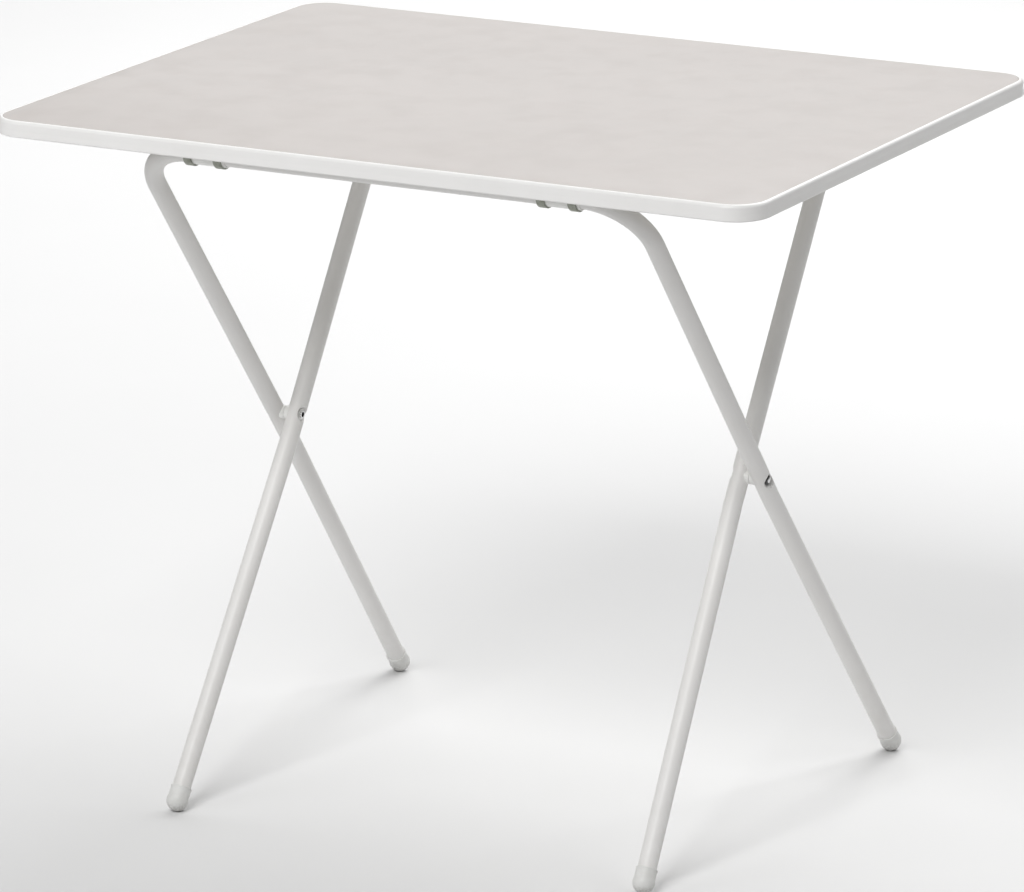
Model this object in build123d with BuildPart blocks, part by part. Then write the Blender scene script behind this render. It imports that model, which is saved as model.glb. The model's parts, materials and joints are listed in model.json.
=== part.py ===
"""Folding tray table: a laminated top on two U-bent tube frames that cross and fold like scissors.

Frame of the model: millimetres, origin on the floor under the middle of the top, +X to the right
along the long side, +Y to the back, +Z up. The outer frame's cross tube hinges under the front of
the top and its legs run down to the back feet. The inner frame's cross tube carries the back of the
top and its legs run down to the front feet. Rivets join the two frames where the legs cross.
"""
from build123d import *

import os
from math import hypot

os.makedirs("parts", exist_ok=True)

# Overall size
TOP_LENGTH = 800.0
TOP_DEPTH = 600.0
TABLE_HEIGHT = 680.0
CORNER_RADIUS = 34.0

# Top: chipboard core between two laminate sheets, inside a moulded plastic edge
BOARD_THICKNESS = 12.0
SHEET_THICKNESS = 0.8
EDGE_HEIGHT = 15.6
EDGE_THICKNESS = 4.2
EDGE_ARRIS = 3.4
EDGE_LIP = 0.8
LIP_HEIGHT = 4.5
LIP_BAND = 0.6
LIP_CHAMFER = 0.5
INNER_CHAMFER = 1.0
BARB_DEPTH = 8.0
BARB_THICKNESS = 2.0

# Frames: round steel tube
TUBE_RADIUS = 9.0
TUBE_WALL = 1.2
BEND_RADIUS = 56.0
KINK_RADIUS = 120.0
KINK_BELOW_PIVOT = 26.0
OUTER_TOP_Y = -253.0
OUTER_FOOT_Y = 246.0
INNER_TOP_Y = 198.0
INNER_FOOT_Y = -228.0
OUTER_HALF_WIDTHS = (261.0, 264.6, 278.0)
INNER_HALF_WIDTHS = (241.5, 241.5, 252.0)

# Feet: plastic balls with a short cup round the tube's end and a plug inside it, measured up the
# leg from the middle of the ball
FOOT_RADIUS = 10.6
CUP_RADIUS = 10.0
CUP_RIM_RADIUS = 10.3
CUP_RIM_HEIGHT = 1.6
CUP_TOP = 13.5
TUBE_END = 2.0
PLUG_TOP = 25.0

# Pivots: semi-tubular rivets with a domed head outside and a rolled end inside, both sunk in
# dimples pressed into the legs
DIMPLE_RADIUS = 7.0
DIMPLE_DEPTH = 4.2
RIVET_RADIUS = 3.0
RIVET_HOLE_RADIUS = 3.1
RIVET_HEAD_RADIUS = 5.4
RIVET_HEAD_HEIGHT = 3.0
RIVET_HEAD_EDGE = 0.6
RIVET_END_RADIUS = 4.0
RIVET_END_HEIGHT = 1.3
RIVET_END_EASE = 0.4
RIVET_BORE_RADIUS = 2.2
RIVET_BORE_DEPTH = 8.0
BUSH_RADIUS = 4.5
BUSH_BORE_RADIUS = 3.08
SADDLE_WASHER_RADIUS = 6.5
FLAT_WASHER_RADIUS = 5.4
FLAT_WASHER_THICKNESS = 0.8

# Fittings under the top
CLEARANCE = 0.3
SLEEVE_BORE_RADIUS = 9.08
SLEEVE_RADIUS = 10.2
SLEEVE_LENGTH = 45.0
SLEEVE_SLIT = 1.6
SADDLE_X = 185.0
SADDLE_LENGTH = 40.0
SADDLE_BORE_RADIUS = 10.3
SADDLE_THICKNESS = 1.5
STRAP_WIDTH = 8.0
FLANGE_WIDTH = 13.0
FLANGE_CORNER = 3.0
REST_X = 150.0
REST_LENGTH = 46.0
REST_WALL = 5.0
REST_TAPER = 1.0
REST_DROP = 7.0
REST_FLANGE = 15.0
REST_FLANGE_THICKNESS = 3.0
REST_RIB = 2.0
REST_RIB_RISE = 2.0
REST_BLEND = 1.5
SCREW_HEAD_RADIUS = 3.2
SCREW_HEAD_HEIGHT = 1.8
SCREW_RADIUS = 1.5
SCREW_LENGTH = 9.0
SCREW_RECESS_LENGTH = 4.0
SCREW_RECESS_WIDTH = 0.9
SCREW_RECESS_DEPTH = 1.1

UNDERSIDE = TABLE_HEIGHT - BOARD_THICKNESS
TUBE_Z = UNDERSIDE - CLEARANCE - SLEEVE_RADIUS
SADDLE_RADIUS = SADDLE_BORE_RADIUS + SADDLE_THICKNESS
SIDES = (("left", -1), ("right", 1))

# The legs cross where the two straight lines from cross tube to foot meet, seen from the side.
outer_slope = (TUBE_Z - FOOT_RADIUS) / (OUTER_FOOT_Y - OUTER_TOP_Y)
inner_slope = (TUBE_Z - FOOT_RADIUS) / (INNER_TOP_Y - INNER_FOOT_Y)
PIVOT_Y = (inner_slope * INNER_TOP_Y + outer_slope * OUTER_TOP_Y) / (outer_slope + inner_slope)
PIVOT_Z = TUBE_Z - outer_slope * (PIVOT_Y - OUTER_TOP_Y)

MM = 0.001
print(f"front hinge axis: y {OUTER_TOP_Y * MM:.4f} m, z {TUBE_Z * MM:.4f} m")
print(f"leg pivot axis: y {PIVOT_Y * MM:.6f} m, z {PIVOT_Z * MM:.6f} m")


def save(piece, name):
    """Label one finished piece and write it to its own file."""
    piece.part.label = name
    export_step(piece.part, f"parts/{name}.step")


# ---------------------------------------------------------------------------------------------
# The top
# ---------------------------------------------------------------------------------------------
BOARD_LENGTH = TOP_LENGTH - 2 * (EDGE_THICKNESS + EDGE_LIP)
BOARD_DEPTH = TOP_DEPTH - 2 * (EDGE_THICKNESS + EDGE_LIP)
BOARD_CORNER = CORNER_RADIUS - EDGE_THICKNESS - EDGE_LIP
BARB_Z = TABLE_HEIGHT - BOARD_THICKNESS / 2


def rounded_outline(inset):
    """Sketch the board's outline, drawn in by an inset on every side."""
    RectangleRounded(
        BOARD_LENGTH - 2 * inset,
        BOARD_DEPTH - 2 * inset,
        BOARD_CORNER - inset,
    )


def saddle_screw_places():
    """Give the screw places of both front saddles as (x, y)."""
    flange_middle = SADDLE_RADIUS + FLANGE_WIDTH / 2
    return [
        (side * SADDLE_X + end * SADDLE_LENGTH / 4, OUTER_TOP_Y + row * flange_middle)
        for _, side in SIDES
        for end in (-1, 1)
        for row in (-1, 1)
    ]


def rest_screw_places():
    """Give the screw places of both rear rests as (x, y)."""
    flange_middle = INNER_TOP_Y + TUBE_RADIUS + CLEARANCE + REST_WALL + REST_FLANGE / 2
    return [
        (side * REST_X + end * REST_LENGTH / 4, flange_middle)
        for _, side in SIDES
        for end in (-1, 1)
    ]


SCREW_PLACES = saddle_screw_places() + rest_screw_places()

with BuildPart() as top_core:
    with BuildSketch(Plane.XY.offset(UNDERSIDE + SHEET_THICKNESS)):
        rounded_outline(0)
    extrude(amount=BOARD_THICKNESS - 2 * SHEET_THICKNESS)
    with BuildSketch(Plane.XY.offset(BARB_Z - BARB_THICKNESS / 2)):
        rounded_outline(0)
        with BuildSketch(mode=Mode.SUBTRACT):
            rounded_outline(BARB_DEPTH)
    extrude(amount=BARB_THICKNESS, mode=Mode.SUBTRACT)
    with BuildSketch(Plane.XY.offset(UNDERSIDE)):
        with Locations(*SCREW_PLACES):
            Circle(SCREW_RADIUS)
    extrude(amount=SCREW_LENGTH, mode=Mode.SUBTRACT)
save(top_core, "top_core")

with BuildPart() as top_laminate:
    with BuildSketch(Plane.XY.offset(TABLE_HEIGHT - SHEET_THICKNESS)):
        rounded_outline(0)
    extrude(amount=SHEET_THICKNESS)
save(top_laminate, "top_laminate")

with BuildPart() as backing_sheet:
    with BuildSketch(Plane.XY.offset(UNDERSIDE)):
        rounded_outline(0)
        with Locations(*SCREW_PLACES):
            Circle(SCREW_RADIUS, mode=Mode.SUBTRACT)
    extrude(amount=SHEET_THICKNESS)
save(backing_sheet, "backing_sheet")

# The edge moulding's section runs round the board: a face with a rounded upper arris, a lower lip
# that flares out a little, and a barb that grips the groove in the core.
barb_bottom = -BOARD_THICKNESS / 2 - BARB_THICKNESS / 2
with BuildPart() as edge_moulding:
    with BuildLine(Plane.XY.offset(TABLE_HEIGHT)) as board_edge:
        FilletPolyline(
            (-BOARD_LENGTH / 2, -BOARD_DEPTH / 2),
            (BOARD_LENGTH / 2, -BOARD_DEPTH / 2),
            (BOARD_LENGTH / 2, BOARD_DEPTH / 2),
            (-BOARD_LENGTH / 2, BOARD_DEPTH / 2),
            radius=BOARD_CORNER,
            close=True,
        )
    edge_start = board_edge.wire() @ 0
    edge_run = board_edge.wire() % 0
    section_plane = Plane(
        origin=edge_start, x_dir=edge_run.cross(Vector(0, 0, 1)), z_dir=-edge_run
    )
    with BuildSketch(section_plane):
        with BuildLine():
            top_flat = Line((0, 0), (EDGE_THICKNESS - EDGE_ARRIS, 0))
            arris = RadiusArc(top_flat @ 1, (EDGE_THICKNESS, -EDGE_ARRIS), EDGE_ARRIS)
            Polyline(
                arris @ 1,
                (EDGE_THICKNESS, LIP_HEIGHT - EDGE_HEIGHT),
                (EDGE_THICKNESS + EDGE_LIP, LIP_CHAMFER + LIP_BAND - EDGE_HEIGHT),
                (EDGE_THICKNESS + EDGE_LIP, LIP_CHAMFER - EDGE_HEIGHT),
                (EDGE_THICKNESS + EDGE_LIP - LIP_CHAMFER, -EDGE_HEIGHT),
                (INNER_CHAMFER, -EDGE_HEIGHT),
                (0, INNER_CHAMFER - EDGE_HEIGHT),
                (0, barb_bottom),
                (-BARB_DEPTH, barb_bottom),
                (-BARB_DEPTH, barb_bottom + BARB_THICKNESS),
                (0, barb_bottom + BARB_THICKNESS),
                (0, 0),
            )
        make_face()
    sweep(path=board_edge.wire())
save(edge_moulding, "edge_moulding")


# ---------------------------------------------------------------------------------------------
# The two tube frames
# ---------------------------------------------------------------------------------------------
def frame_numbers(top_y, foot_y, half_widths):
    """Work out one frame's leg: its direction up the leg, its length and its half widths."""
    rise = TUBE_Z - FOOT_RADIUS
    run = top_y - foot_y
    length = hypot(rise, run)
    top_width, kink_width, foot_width = half_widths
    pivot_drop = hypot(TUBE_Z - PIVOT_Z, top_y - PIVOT_Y)
    kink_drop = pivot_drop + KINK_BELOW_PIVOT
    lean = (kink_width - top_width) / kink_drop
    splay = (foot_width - kink_width) / (length - kink_drop)
    return {
        "up": Vector(0, run, rise).normalized(),
        "length": length,
        "top_y": top_y,
        "pivot_width": top_width + lean * pivot_drop,
        "kink_drop": kink_drop,
        "half_widths": half_widths,
        "lean": lean,
        "splay": splay,
    }


OUTER = frame_numbers(OUTER_TOP_Y, OUTER_FOOT_Y, OUTER_HALF_WIDTHS)
INNER = frame_numbers(INNER_TOP_Y, INNER_FOOT_Y, INNER_HALF_WIDTHS)


def leg_plane(frame):
    """Give the slanted plane that holds one frame's centre line: x to the right, y up the leg."""
    return Plane(
        origin=(0, frame["top_y"], TUBE_Z),
        x_dir=(1, 0, 0),
        z_dir=Vector(1, 0, 0).cross(frame["up"]),
    )


def leg_section_plane(side, frame):
    """Give the plane across one leg at the pivot."""
    leg_up = frame["up"] - Vector(side * frame["lean"], 0, 0)
    return Plane(origin=(side * frame["pivot_width"], PIVOT_Y, PIVOT_Z), z_dir=leg_up)


def dimple_plane(side, frame, facing):
    """Give the plane of one dimple's floor, looking out of the dimple."""
    floor_x = side * frame["pivot_width"] + facing * (TUBE_RADIUS - DIMPLE_DEPTH)
    return Plane(origin=(floor_x, PIVOT_Y, PIVOT_Z), z_dir=(facing, 0, 0))


def dimple_wall(side, frame, facing):
    """Make the steel round one dimple, trimmed to the leg's round outside."""
    with BuildPart() as wall:
        with BuildSketch(dimple_plane(side, frame, facing).offset(-TUBE_WALL)):
            Circle(DIMPLE_RADIUS + TUBE_WALL)
        extrude(amount=DIMPLE_DEPTH + TUBE_WALL)
        with BuildSketch(leg_section_plane(side, frame)):
            Circle(TUBE_RADIUS)
        extrude(amount=2 * DIMPLE_RADIUS, both=True, mode=Mode.INTERSECT)
    return wall


def bent_tube(frame, pivot_hole_radius, outward):
    """Make one frame's tube: two bends, and in each leg a kink, a dimple and a pivot hole."""
    top_width, kink_width, foot_width = frame["half_widths"]
    end_drop = frame["length"] - TUBE_END
    end_width = foot_width - frame["splay"] * TUBE_END
    with BuildPart() as tube:
        with BuildLine(leg_plane(frame)) as centre_line:
            FilletPolyline(
                (-end_width, -end_drop),
                (-kink_width, -frame["kink_drop"]),
                (-top_width, 0),
                (top_width, 0),
                (kink_width, -frame["kink_drop"]),
                (end_width, -end_drop),
                radius=[KINK_RADIUS, BEND_RADIUS, BEND_RADIUS, KINK_RADIUS],
            )
        path = centre_line.wire()
        with BuildSketch(Plane(origin=path @ 0, z_dir=path % 0)):
            Circle(TUBE_RADIUS)
            Circle(TUBE_RADIUS - TUBE_WALL, mode=Mode.SUBTRACT)
        sweep(path=path)
        for _, side in SIDES:
            add(dimple_wall(side, frame, side * outward).part)
            with BuildSketch(dimple_plane(side, frame, side * outward)):
                Circle(DIMPLE_RADIUS)
            extrude(amount=2 * DIMPLE_DEPTH, mode=Mode.SUBTRACT)
        with BuildSketch(Plane.YZ.offset(-TOP_LENGTH / 2)):
            with Locations((PIVOT_Y, PIVOT_Z)):
                Circle(pivot_hole_radius)
        extrude(amount=TOP_LENGTH, mode=Mode.SUBTRACT)
    return tube


save(bent_tube(OUTER, RIVET_HOLE_RADIUS, outward=1), "outer_frame_tube")
save(bent_tube(INNER, BUSH_RADIUS, outward=-1), "inner_frame_tube")


def foot_cap(frame, side):
    """Make one foot: a ball that meets the floor, under a short rimmed cup with a plug inside."""
    foot_width = frame["half_widths"][2]
    centre = leg_plane(frame).from_local_coords(Vector(side * foot_width, -frame["length"], 0))
    leg_up = (frame["up"] - Vector(side * frame["splay"], 0, 0)).normalized()
    sideways = leg_up.cross(Vector(1, 0, 0)).normalized()
    cap_plane = Plane(origin=centre, x_dir=sideways, z_dir=sideways.cross(leg_up))
    neck_height = (FOOT_RADIUS**2 - CUP_RADIUS**2) ** 0.5
    with BuildPart() as cap:
        with BuildSketch(cap_plane):
            with BuildLine():
                ball = RadiusArc((0, -FOOT_RADIUS), (CUP_RADIUS, neck_height), -FOOT_RADIUS)
                Polyline(
                    ball @ 1,
                    (CUP_RADIUS, CUP_TOP - CUP_RIM_HEIGHT),
                    (CUP_RIM_RADIUS, CUP_TOP - CUP_RIM_HEIGHT),
                    (CUP_RIM_RADIUS, CUP_TOP),
                    (TUBE_RADIUS, CUP_TOP),
                    (TUBE_RADIUS, TUBE_END),
                    (TUBE_RADIUS - TUBE_WALL, TUBE_END),
                    (TUBE_RADIUS - TUBE_WALL, PLUG_TOP),
                    (0, PLUG_TOP),
                    (0, -FOOT_RADIUS),
                )
            make_face()
        revolve(axis=Axis(origin=centre, direction=leg_up))
    return cap


for body, frame in (("outer", OUTER), ("inner", INNER)):
    for label, side in SIDES:
        save(foot_cap(frame, side), f"{body}_foot_cap_{label}")


# ---------------------------------------------------------------------------------------------
# The pivots, where the legs cross
# ---------------------------------------------------------------------------------------------
PIVOT_AXIS = Axis(origin=(0, PIVOT_Y, PIVOT_Z), direction=(1, 0, 0))
OUTER_LEG_INSIDE = OUTER["pivot_width"] - TUBE_RADIUS
OUTER_FLOOR = OUTER["pivot_width"] + TUBE_RADIUS - DIMPLE_DEPTH
INNER_LEG_OUTSIDE = INNER["pivot_width"] + TUBE_RADIUS
INNER_FLOOR = INNER["pivot_width"] - TUBE_RADIUS + DIMPLE_DEPTH
GAP_MIDDLE = (OUTER_LEG_INSIDE + INNER_LEG_OUTSIDE) / 2
SADDLE_DEPTH = TUBE_RADIUS - (TUBE_RADIUS**2 - SADDLE_WASHER_RADIUS**2) ** 0.5


def pivot_plane(side):
    """Give the plane of a pivot's section: x outward from the middle of the table, y up."""
    return Plane(origin=(0, PIVOT_Y, PIVOT_Z), x_dir=(side, 0, 0), z_dir=(0, -side, 0))


def ring_section(bore_radius, radius, near, far):
    """Draw a ring's section in a pivot plane, from near to far outward."""
    with Locations(((near + far) / 2, (bore_radius + radius) / 2)):
        Rectangle(far - near, radius - bore_radius)


def pivot_rivet(side):
    """Make one semi-tubular rivet: domed head outside, shank through both legs, rolled end."""
    dome_height = RIVET_HEAD_HEIGHT - RIVET_HEAD_EDGE
    dome_radius = (RIVET_HEAD_RADIUS**2 + dome_height**2) / (2 * dome_height)
    end_base = INNER_FLOOR - CLEARANCE - FLAT_WASHER_THICKNESS
    end_tip = end_base - RIVET_END_HEIGHT
    with BuildPart() as rivet:
        with BuildSketch(pivot_plane(side)):
            with BuildLine():
                seat = Polyline(
                    (OUTER_FLOOR + RIVET_HEAD_HEIGHT, 0),
                    (OUTER_FLOOR, 0),
                    (OUTER_FLOOR, RIVET_HEAD_RADIUS),
                    (OUTER_FLOOR + RIVET_HEAD_EDGE, RIVET_HEAD_RADIUS),
                )
                RadiusArc(seat @ 1, seat @ 0, dome_radius)
            make_face()
        revolve(axis=PIVOT_AXIS)
        with BuildSketch(pivot_plane(side)):
            with BuildLine():
                Polyline(
                    (OUTER_FLOOR, 0),
                    (OUTER_FLOOR, RIVET_RADIUS),
                    (end_base, RIVET_RADIUS),
                    (end_base, RIVET_END_RADIUS),
                    (end_tip + RIVET_END_EASE, RIVET_END_RADIUS),
                    (end_tip, RIVET_END_RADIUS - RIVET_END_EASE),
                    (end_tip, RIVET_BORE_RADIUS + RIVET_END_EASE),
                    (end_tip + RIVET_END_EASE, RIVET_BORE_RADIUS),
                    (end_tip + RIVET_BORE_DEPTH, RIVET_BORE_RADIUS),
                    (end_tip + RIVET_BORE_DEPTH, 0),
                    close=True,
                )
            make_face()
        revolve(axis=PIVOT_AXIS)
    return rivet


def saddle_washer(side, frame, bore_radius, near, far):
    """Make one plastic washer that seats on the round of a leg and has a flat rubbing face."""
    with BuildPart() as washer:
        with BuildSketch(pivot_plane(side)):
            ring_section(bore_radius, SADDLE_WASHER_RADIUS, near, far)
        revolve(axis=PIVOT_AXIS)
        with BuildSketch(leg_section_plane(side, frame)):
            Circle(TUBE_RADIUS)
        extrude(amount=2 * SADDLE_WASHER_RADIUS, both=True, mode=Mode.SUBTRACT)
    return washer


def plain_ring(side, bore_radius, radius, near, far):
    """Make a bush or a flat washer on the pivot axis."""
    with BuildPart() as ring:
        with BuildSketch(pivot_plane(side)):
            ring_section(bore_radius, radius, near, far)
        revolve(axis=PIVOT_AXIS)
    return ring


OUTER_WASHER_ENDS = (GAP_MIDDLE + CLEARANCE / 2, OUTER_LEG_INSIDE + SADDLE_DEPTH)
INNER_WASHER_ENDS = (INNER_LEG_OUTSIDE - SADDLE_DEPTH, GAP_MIDDLE - CLEARANCE / 2)
FLAT_WASHER_ENDS = (
    INNER_FLOOR - CLEARANCE - FLAT_WASHER_THICKNESS,
    INNER_FLOOR - CLEARANCE,
)
BUSH_ENDS = (INNER_FLOOR, INNER_LEG_OUTSIDE)

for label, side in SIDES:
    save(pivot_rivet(side), f"pivot_rivet_{label}")
    save(
        plain_ring(side, RIVET_HOLE_RADIUS, FLAT_WASHER_RADIUS, *FLAT_WASHER_ENDS),
        f"rivet_washer_{label}",
    )
    save(
        saddle_washer(side, OUTER, RIVET_HOLE_RADIUS, *OUTER_WASHER_ENDS),
        f"outer_saddle_washer_{label}",
    )
    save(
        saddle_washer(side, INNER, BUSH_RADIUS, *INNER_WASHER_ENDS),
        f"inner_saddle_washer_{label}",
    )
    save(plain_ring(side, BUSH_BORE_RADIUS, BUSH_RADIUS, *BUSH_ENDS), f"pivot_bush_{label}")


# ---------------------------------------------------------------------------------------------
# The fittings under the top
# ---------------------------------------------------------------------------------------------
def tube_sleeve(side):
    """Make one slit plastic sleeve on the front cross tube, which the saddle turns on."""
    start = Plane.YZ.offset(side * SADDLE_X - SLEEVE_LENGTH / 2)
    with BuildPart() as sleeve:
        with BuildSketch(start):
            with Locations((OUTER_TOP_Y, TUBE_Z)):
                Circle(SLEEVE_RADIUS)
                Circle(SLEEVE_BORE_RADIUS, mode=Mode.SUBTRACT)
            with Locations((OUTER_TOP_Y, TUBE_Z + SLEEVE_RADIUS)):
                Rectangle(SLEEVE_SLIT, SLEEVE_RADIUS, mode=Mode.SUBTRACT)
        extrude(amount=SLEEVE_LENGTH)
    return sleeve


def front_saddle(side):
    """Make one pressed steel saddle: two straps under the tube, joined by two flanges."""
    start = Plane.YZ.offset(side * SADDLE_X - SADDLE_LENGTH / 2)
    window_start = Plane.YZ.offset(side * SADDLE_X - SADDLE_LENGTH / 2 + STRAP_WIDTH)
    flange_bottom = UNDERSIDE - SADDLE_THICKNESS
    depth = 2 * (SADDLE_RADIUS + FLANGE_WIDTH)
    with BuildPart() as saddle:
        with BuildSketch(start):
            with Locations((OUTER_TOP_Y, TUBE_Z)):
                Circle(SADDLE_RADIUS)
            with Locations((OUTER_TOP_Y, (TUBE_Z + UNDERSIDE) / 2)):
                Rectangle(2 * SADDLE_RADIUS, UNDERSIDE - TUBE_Z)
            with Locations((OUTER_TOP_Y, UNDERSIDE - SADDLE_THICKNESS / 2)):
                Rectangle(depth, SADDLE_THICKNESS)
            with Locations((OUTER_TOP_Y, TUBE_Z)):
                Circle(SADDLE_BORE_RADIUS, mode=Mode.SUBTRACT)
            with Locations((OUTER_TOP_Y, TUBE_Z + SADDLE_RADIUS)):
                Rectangle(2 * SADDLE_BORE_RADIUS, 2 * SADDLE_RADIUS, mode=Mode.SUBTRACT)
        extrude(amount=SADDLE_LENGTH)
        with BuildSketch(window_start):
            with Locations((OUTER_TOP_Y, flange_bottom - SADDLE_RADIUS)):
                Rectangle(2 * SADDLE_RADIUS + CLEARANCE, 2 * SADDLE_RADIUS)
        extrude(amount=SADDLE_LENGTH - 2 * STRAP_WIDTH, mode=Mode.SUBTRACT)
        with BuildSketch(Plane.XY.offset(UNDERSIDE - SADDLE_THICKNESS)):
            with Locations(*saddle_screw_places()):
                Circle(SCREW_RADIUS)
        extrude(amount=SADDLE_THICKNESS, mode=Mode.SUBTRACT)
        corner_ys = (OUTER_TOP_Y - depth / 2, OUTER_TOP_Y + depth / 2)
        fillet(
            [
                edge
                for edge in saddle.edges().filter_by(Axis.Z)
                if min(abs(edge.center().Y - y) for y in corner_ys) < CLEARANCE
            ],
            radius=FLANGE_CORNER,
        )
    return saddle


def rear_rest(side):
    """Make one moulded rest: the rear cross tube nests under its base, against its back wall."""
    start = Plane.YZ.offset(side * REST_X - REST_LENGTH / 2)
    nest_radius = TUBE_RADIUS + CLEARANCE
    wall_y = INNER_TOP_Y + nest_radius
    base_front = INNER_TOP_Y - TUBE_RADIUS
    flange_back = wall_y + REST_WALL + REST_FLANGE
    flange_bottom = UNDERSIDE - REST_FLANGE_THICKNESS
    wall_bottom = TUBE_Z - REST_DROP
    with BuildPart() as rest:
        with BuildSketch(start):
            with BuildLine():
                outline = Polyline(
                    (INNER_TOP_Y, TUBE_Z + nest_radius),
                    (base_front, TUBE_Z + nest_radius),
                    (base_front, UNDERSIDE),
                    (flange_back, UNDERSIDE),
                    (flange_back, flange_bottom),
                    (wall_y + REST_WALL + REST_BLEND, flange_bottom),
                    (wall_y + REST_WALL, flange_bottom - REST_BLEND),
                    (wall_y + REST_WALL - REST_TAPER, wall_bottom),
                    (wall_y + REST_TAPER, wall_bottom),
                    (wall_y, wall_bottom + REST_TAPER),
                    (wall_y, TUBE_Z),
                )
                RadiusArc(outline @ 1, outline @ 0, -nest_radius)
            make_face()
        extrude(amount=REST_LENGTH)
        for rib in (-1, 0, 1):
            rib_x = side * REST_X + rib * (REST_LENGTH / 2 - REST_RIB / 2)
            with BuildSketch(Plane.YZ.offset(rib_x - REST_RIB / 2)):
                with BuildLine():
                    Polyline(
                        (wall_y + REST_WALL - REST_TAPER, wall_bottom + REST_RIB_RISE),
                        (flange_back - REST_TAPER, flange_bottom),
                        (wall_y + REST_WALL - REST_TAPER, flange_bottom),
                        close=True,
                    )
                make_face()
            extrude(amount=REST_RIB)
        with BuildSketch(Plane.XY.offset(flange_bottom)):
            with Locations(*rest_screw_places()):
                Circle(SCREW_RADIUS)
        extrude(amount=REST_FLANGE_THICKNESS, mode=Mode.SUBTRACT)
    return rest


def wood_screws(places, seat_z):
    """Make a group of pan-head screws with a cross recess, driven up into the board."""
    with BuildPart() as screws:
        with BuildSketch(Plane.XY.offset(seat_z - SCREW_HEAD_HEIGHT)):
            with Locations(*places):
                Circle(SCREW_HEAD_RADIUS)
        extrude(amount=SCREW_HEAD_HEIGHT)
        head_rims = screws.edges().filter_by(GeomType.CIRCLE).group_by(Axis.Z)[0]
        fillet(head_rims, radius=SCREW_HEAD_HEIGHT / 2)
        with BuildSketch(Plane.XY.offset(seat_z - SCREW_HEAD_HEIGHT)):
            with Locations(*places):
                Rectangle(SCREW_RECESS_LENGTH, SCREW_RECESS_WIDTH)
                Rectangle(SCREW_RECESS_WIDTH, SCREW_RECESS_LENGTH)
        extrude(amount=SCREW_RECESS_DEPTH, mode=Mode.SUBTRACT)
        with BuildSketch(Plane.XY.offset(seat_z)):
            with Locations(*places):
                Circle(SCREW_RADIUS)
        extrude(amount=UNDERSIDE + SCREW_LENGTH - seat_z)
    return screws


for label, side in SIDES:
    save(tube_sleeve(side), f"tube_sleeve_{label}")
    save(front_saddle(side), f"front_saddle_{label}")
    save(rear_rest(side), f"rear_rest_{label}")

save(wood_screws(saddle_screw_places(), UNDERSIDE - SADDLE_THICKNESS), "front_saddle_screws")
save(wood_screws(rest_screw_places(), UNDERSIDE - REST_FLANGE_THICKNESS), "rear_rest_screws")
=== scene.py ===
"""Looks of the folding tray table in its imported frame: pieces, materials, light and camera."""
import json
import math

import bmesh
import bpy
from mathutils import Matrix, Vector


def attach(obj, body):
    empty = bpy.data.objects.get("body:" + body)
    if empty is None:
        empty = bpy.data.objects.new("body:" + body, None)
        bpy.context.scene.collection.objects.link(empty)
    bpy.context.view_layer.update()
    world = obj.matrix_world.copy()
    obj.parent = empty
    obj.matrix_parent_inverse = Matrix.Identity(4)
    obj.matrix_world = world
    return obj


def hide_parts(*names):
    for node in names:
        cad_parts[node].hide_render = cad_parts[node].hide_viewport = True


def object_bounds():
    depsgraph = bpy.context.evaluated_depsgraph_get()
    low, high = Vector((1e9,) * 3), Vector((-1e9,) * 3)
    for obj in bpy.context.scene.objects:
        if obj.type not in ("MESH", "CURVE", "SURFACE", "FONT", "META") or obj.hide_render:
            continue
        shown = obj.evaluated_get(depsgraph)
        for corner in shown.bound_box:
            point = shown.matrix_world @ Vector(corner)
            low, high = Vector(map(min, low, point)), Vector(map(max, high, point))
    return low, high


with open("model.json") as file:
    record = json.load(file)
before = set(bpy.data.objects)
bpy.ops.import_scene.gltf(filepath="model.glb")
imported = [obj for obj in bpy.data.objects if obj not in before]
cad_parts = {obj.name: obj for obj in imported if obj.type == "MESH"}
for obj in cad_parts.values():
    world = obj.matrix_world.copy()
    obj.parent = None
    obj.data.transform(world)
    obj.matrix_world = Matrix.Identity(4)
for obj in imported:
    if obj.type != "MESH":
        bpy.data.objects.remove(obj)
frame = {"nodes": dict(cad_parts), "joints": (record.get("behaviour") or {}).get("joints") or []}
CAD_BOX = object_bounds()

# Lengths are in metres
MM = 0.001
SIDES = (("left", -1), ("right", 1))
SHARP_ANGLE = math.radians(35)
ON_AXIS = 0.0001 * MM

# The top
TABLE_HEIGHT = CAD_BOX[1].z
BOARD_THICKNESS = 12 * MM
UNDERSIDE = TABLE_HEIGHT - BOARD_THICKNESS
SHEET_THICKNESS = 0.8 * MM
EDGE_THICKNESS = 4.2 * MM
EDGE_LIP = 0.8 * MM
EDGE_HEIGHT = 15.6 * MM
CORNER_RADIUS = 34 * MM

# The tube, whose legs kink outward below the pivot and end above the middle of the foot's ball
TUBE_RADIUS = 9 * MM
TUBE_WALL = 1.2 * MM
BEND_RADIUS = 56 * MM
KINK_RADIUS = 120 * MM
KINK_BELOW_PIVOT = 26 * MM
DIMPLE_RADIUS = 7 * MM
DIMPLE_DEPTH = 4.2 * MM
FOOT_RADIUS = 10.6 * MM
TUBE_END = 2 * MM

# The two frames, with their half widths at the cross tube, at the kink and at the foot
JOINTS = {joint["name"]: Vector(joint["pos_m"]) for joint in frame["joints"]}
PIVOT = JOINTS["legs_fold"]
HINGE = JOINTS["top_tilt"]
TUBE_Z = HINGE.z
OUTER_TOP_Y = HINGE.y
OUTER_FOOT_Y = 246 * MM
INNER_TOP_Y = 198 * MM
INNER_FOOT_Y = -228 * MM
OUTER_HALF_WIDTHS = (261 * MM, 264.6 * MM, 278 * MM)
INNER_HALF_WIDTHS = (241.5 * MM, 241.5 * MM, 252 * MM)


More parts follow.
